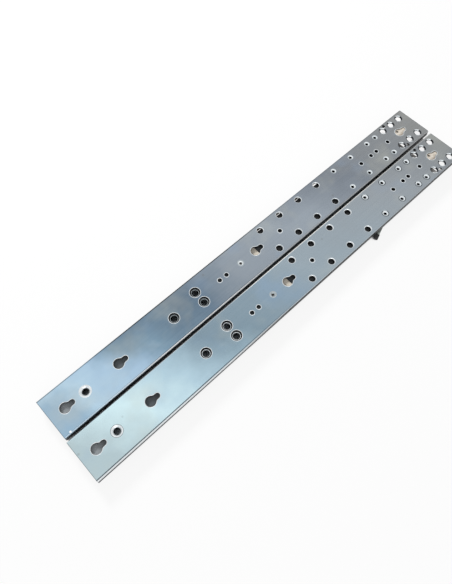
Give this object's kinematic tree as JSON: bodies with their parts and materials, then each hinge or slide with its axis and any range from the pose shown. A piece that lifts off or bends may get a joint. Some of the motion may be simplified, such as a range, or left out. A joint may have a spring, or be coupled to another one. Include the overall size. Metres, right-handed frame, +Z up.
{
  "type": "pair of rack slide rails",
  "caption": "Pair of closed ball-bearing telescopic slide rails for a rack, with keyholed flat outer webs, rows of bracket holes and a release lever on each.",
  "frame": {"origin": "on the table under the middle of the pair", "axes": "+X towards the front end, the way the rails pull out; +Y from the left rail to the right rail; +Z up, out of the flat webs"},
  "size_m": [0.536, 0.1002, 0.0134],
  "materials": {
    "outer_zinc": "satin blue-passivated zinc plating",
    "middle_zinc": "satin zinc plating, lightly greased",
    "inner_zinc": "satin zinc plating",
    "nylon": "natural nylon",
    "cage_nylon": "natural nylon strip",
    "ball_steel": "polished bearing steel",
    "lever_steel": "spring steel with a grey-green passivation",
    "black_sleeve": "black moulded sleeve",
    "rivet_steel": "zinc-plated rivet",
    "spring_steel": "oiled spring wire"
  },
  "bodies": {
    "left_outer": {"left_outer_member": "outer_zinc", "left_rear_bumper": "nylon"},
    "left_middle": {"left_middle_member": "middle_zinc", "left_stop_block": "nylon", "left_inner_bumper": "nylon"},
    "left_inner": {"left_inner_member": "inner_zinc", "left_lever_pivot": "rivet_steel"},
    "left_lever": {"left_release_lever": "lever_steel", "left_lever_tip": "black_sleeve", "left_lever_spring": "spring_steel"},
    "left_outer_cages": {"left_outer_cage_upper": "cage_nylon", "left_outer_cage_lower": "cage_nylon", "left_outer_balls": "ball_steel"},
    "left_inner_cages": {"left_inner_cage_upper": "cage_nylon", "left_inner_cage_lower": "cage_nylon", "left_inner_balls": "ball_steel"},
    "right_outer": {"right_outer_member": "outer_zinc", "right_rear_bumper": "nylon"},
    "right_middle": {"right_middle_member": "middle_zinc", "right_stop_block": "nylon", "right_inner_bumper": "nylon"},
    "right_inner": {"right_inner_member": "inner_zinc", "right_lever_pivot": "rivet_steel"},
    "right_lever": {"right_release_lever": "lever_steel", "right_lever_tip": "black_sleeve", "right_lever_spring": "spring_steel"},
    "right_outer_cages": {"right_outer_cage_upper": "cage_nylon", "right_outer_cage_lower": "cage_nylon", "right_outer_balls": "ball_steel"},
    "right_inner_cages": {"right_inner_cage_upper": "cage_nylon", "right_inner_cage_lower": "cage_nylon", "right_inner_balls": "ball_steel"}
  },
  "joints": [
    {"name": "left_middle_slide", "type": "slide", "parent": "left_outer", "child": "left_middle", "axis": [1, 0, 0], "range_m": [0, 0.2455]},
    {"name": "left_inner_slide", "type": "slide", "parent": "left_middle", "child": "left_inner", "axis": [1, 0, 0], "range_m": [0, 0.20377]},
    {"name": "left_outer_cage_roll", "type": "slide", "parent": "left_outer", "child": "left_outer_cages", "axis": [1, 0, 0], "range_m": [0, 0.12275]},
    {"name": "left_inner_cage_roll", "type": "slide", "parent": "left_middle", "child": "left_inner_cages", "axis": [1, 0, 0], "range_m": [0, 0.10189]},
    {"name": "left_lever_press", "type": "hinge", "parent": "left_inner", "child": "left_lever", "pos_m": [-0.165, -0.02587, 0.0018], "axis": [0, 0, -1], "range_deg": [0, 4.5], "stiffness_Nm_per_rad": 0.3, "springref_deg": -6.88},
    {"name": "right_rail_apart", "type": "slide", "parent": "left_outer", "child": "right_outer", "axis": [0, 1, 0], "range_m": [0, 0.1]},
    {"name": "right_middle_slide", "type": "slide", "parent": "right_outer", "child": "right_middle", "axis": [1, 0, 0], "range_m": [0, 0.2455]},
    {"name": "right_inner_slide", "type": "slide", "parent": "right_middle", "child": "right_inner", "axis": [1, 0, 0], "range_m": [0, 0.20377]},
    {"name": "right_outer_cage_roll", "type": "slide", "parent": "right_outer", "child": "right_outer_cages", "axis": [1, 0, 0], "range_m": [0, 0.12275]},
    {"name": "right_inner_cage_roll", "type": "slide", "parent": "right_middle", "child": "right_inner_cages", "axis": [1, 0, 0], "range_m": [0, 0.10189]},
    {"name": "right_lever_press", "type": "hinge", "parent": "right_inner", "child": "right_lever", "pos_m": [-0.164, 0.02273, 0.0018], "axis": [0, 0, -1], "range_deg": [0, 4.5], "stiffness_Nm_per_rad": 0.3, "springref_deg": -6.88}
  ],
  "couplings": [
    {"joint": "left_outer_cage_roll", "follows": "left_middle_slide", "ratio": 0.5},
    {"joint": "left_inner_cage_roll", "follows": "left_inner_slide", "ratio": 0.5},
    {"joint": "right_outer_cage_roll", "follows": "right_middle_slide", "ratio": 0.5},
    {"joint": "right_inner_cage_roll", "follows": "right_inner_slide", "ratio": 0.5}
  ]
}
